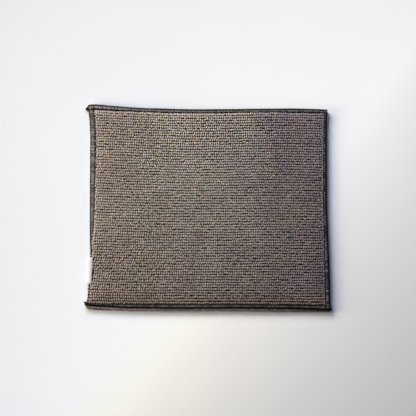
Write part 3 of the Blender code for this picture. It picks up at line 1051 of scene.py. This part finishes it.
def labelFinish():
    material, tree, shader = startFinish("satin_tape", {
        "Sheen Weight": 0.2, "Sheen Roughness": 0.3, "Specular IOR Level": 0.5})
    place = tree.place()
    weave = place.stretched((1.0, 5.0, 1.0)).noise(1400.0, 1.0)
    # painted light and shade of creases, as soft patches on the tape
    paintedCreaseShade = place.noise(160.0, 2.0)
    mix = (weave * 0.5 + paintedCreaseShade * 0.8 - 0.2).within(0.0, 1.0)
    endFinish(shader, mix.blend(label["shade"], label["light"]), weave, (0.2, 0.35), (0.25, 0.00006))
    return material


def makeLabel(material):
    stations, runs, turns = label["rings"]
    upward, foldX = labelEnd(np.min)
    part = np.linspace(0, 1, stations)
    y, foldX = np.linspace(*upward, stations)[:, None], np.linspace(*foldX, stations)[:, None]
    # the tape's middle line: along the top, round the fold and back underneath
    begin, out = label["bend"]
    turn = np.radians(np.linspace(-90, 90, turns)[1:-1])
    inward = np.concatenate([np.linspace(label["inner"], begin, runs), begin - out * np.cos(turn),
                             np.linspace(begin, label["inner"] - label["shorter"], runs)])[None, :]
    apart = label["apart"] * np.concatenate([np.ones(runs), np.sin(-turn), -np.ones(runs)])
    droop = 0.45 * np.clip(1 - inward / 2.6, 0, 1) ** 1.5 + 0.3 * np.clip((inward - 3.0) / 2.0, 0, 1)
    ripple = 0.10 * np.sin(y / 4.2) * np.clip(1 - inward / 3.5, 0, 1)
    ripple = ripple + 0.05 * softNoise(y + 0 * inward, inward + 0 * y, 3, 2, 31)
    centreZ = nodePoints("label")[:, 2].max() - label["down"] - droop + apart[None, :] + ripple
    centre = np.stack([foldX + inward, y + 0 * inward, centreZ], -1)
    lift = unit(np.cross(np.gradient(centre, axis=1), (0.0, 1.0, 0.0))) * label["ply"] / 2
    upward, across = grid(part, np.linspace(0, 1, centre.shape[1]))
    one, other = (centre + lift).reshape(-1, 3), (centre - lift).reshape(-1, 3)
    return gridSheet("side_label", across, upward, one, other, material)


sideLabel = makeLabel(labelFinish())
print("label made")


for piece in (*facePile, backPilePiece, hemPilePiece, groundCloth):
    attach(piece, "root")
    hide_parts("cloth")
for side, piece in edgings.items():
    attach(piece, "root")
    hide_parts("edging_" + side)
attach(sideLabel, "root")
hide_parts("label")


# floor and light

studio = {
    "paleness": (0.98, 0.98, 1.00),  # the floor's brightness in the picture
    "worldColour": (0.90, 0.85, 1.0),
    "worldStrength": 0.058,
}
lights = {
    "key": {"place": (-0.38, 0.40, 0.25), "size": 0.24, "power": 3.2, "colour": (1.0, 0.92, 0.78)},
    "upper": {"place": (-0.12, 0.46, 0.26), "size": 0.24, "power": 2.7, "colour": (0.88, 0.91, 0.98)},
    "side": {"place": (-0.42, -0.03, 0.12), "size": 0.20, "power": 2.3, "colour": (1.0, 0.93, 0.66)},
    "fill": {"place": (0.20, 0.25, 0.90), "size": 0.70, "power": 1.15, "colour": (0.45, 0.55, 1.0)},
}


def makeFloor():
    bpy.ops.mesh.primitive_plane_add(size=4.0, location=(0, 0, -0.00005))
    floor = bpy.context.object
    floor.name = "floor"
    material, tree, shader = startFinish("pale_floor", {"Roughness": 0.8, "Specular IOR Level": 0.0})
    place = tree.place()
    # darker where more light falls, colour by colour, so that it comes out evenly pale
    clouds = place.noise(6.0, 3.0) * 0.06 + 0.97
    shades = []
    for i in range(3):
        lit = studio["worldStrength"] * studio["worldColour"][i]
        for setup in lights.values():
            power = setup["power"] * setup["place"][2] / math.pi ** 2 * setup["colour"][i]
            lit = lit + place.distance(setup["place"]) ** -3.0 * power
        shades.append((clouds * studio["paleness"][i] / lit).within(0.0, 1.0))
    plug(place.node("ShaderNodeCombineColor", None, dict(enumerate(shades))), shader, "Base Color")
    floor.data.materials.append(material)


def makeLight(name):
    setup = lights[name]
    data = bpy.data.lights.new(name, "AREA")
    data.shape, data.size = "DISK", setup["size"]
    data.energy, data.color = setup["power"], setup["colour"]
    light = bpy.data.objects.new(name, data)
    light.location = setup["place"]
    light.rotation_mode = "QUATERNION"
    light.rotation_quaternion = (-Vector(setup["place"])).to_track_quat("-Z", "Y")
    bpy.context.collection.objects.link(light)


makeFloor()
for name in lights:
    makeLight(name)
world = bpy.data.worlds.new("studio")
world.use_nodes = True
background = world.node_tree.nodes["Background"]
background.inputs["Color"].default_value = (*studio["worldColour"], 1.0)
background.inputs["Strength"].default_value = studio["worldStrength"]
bpy.context.scene.world = world
bpy.context.scene.view_settings.view_transform = "Standard"
print("studio set")
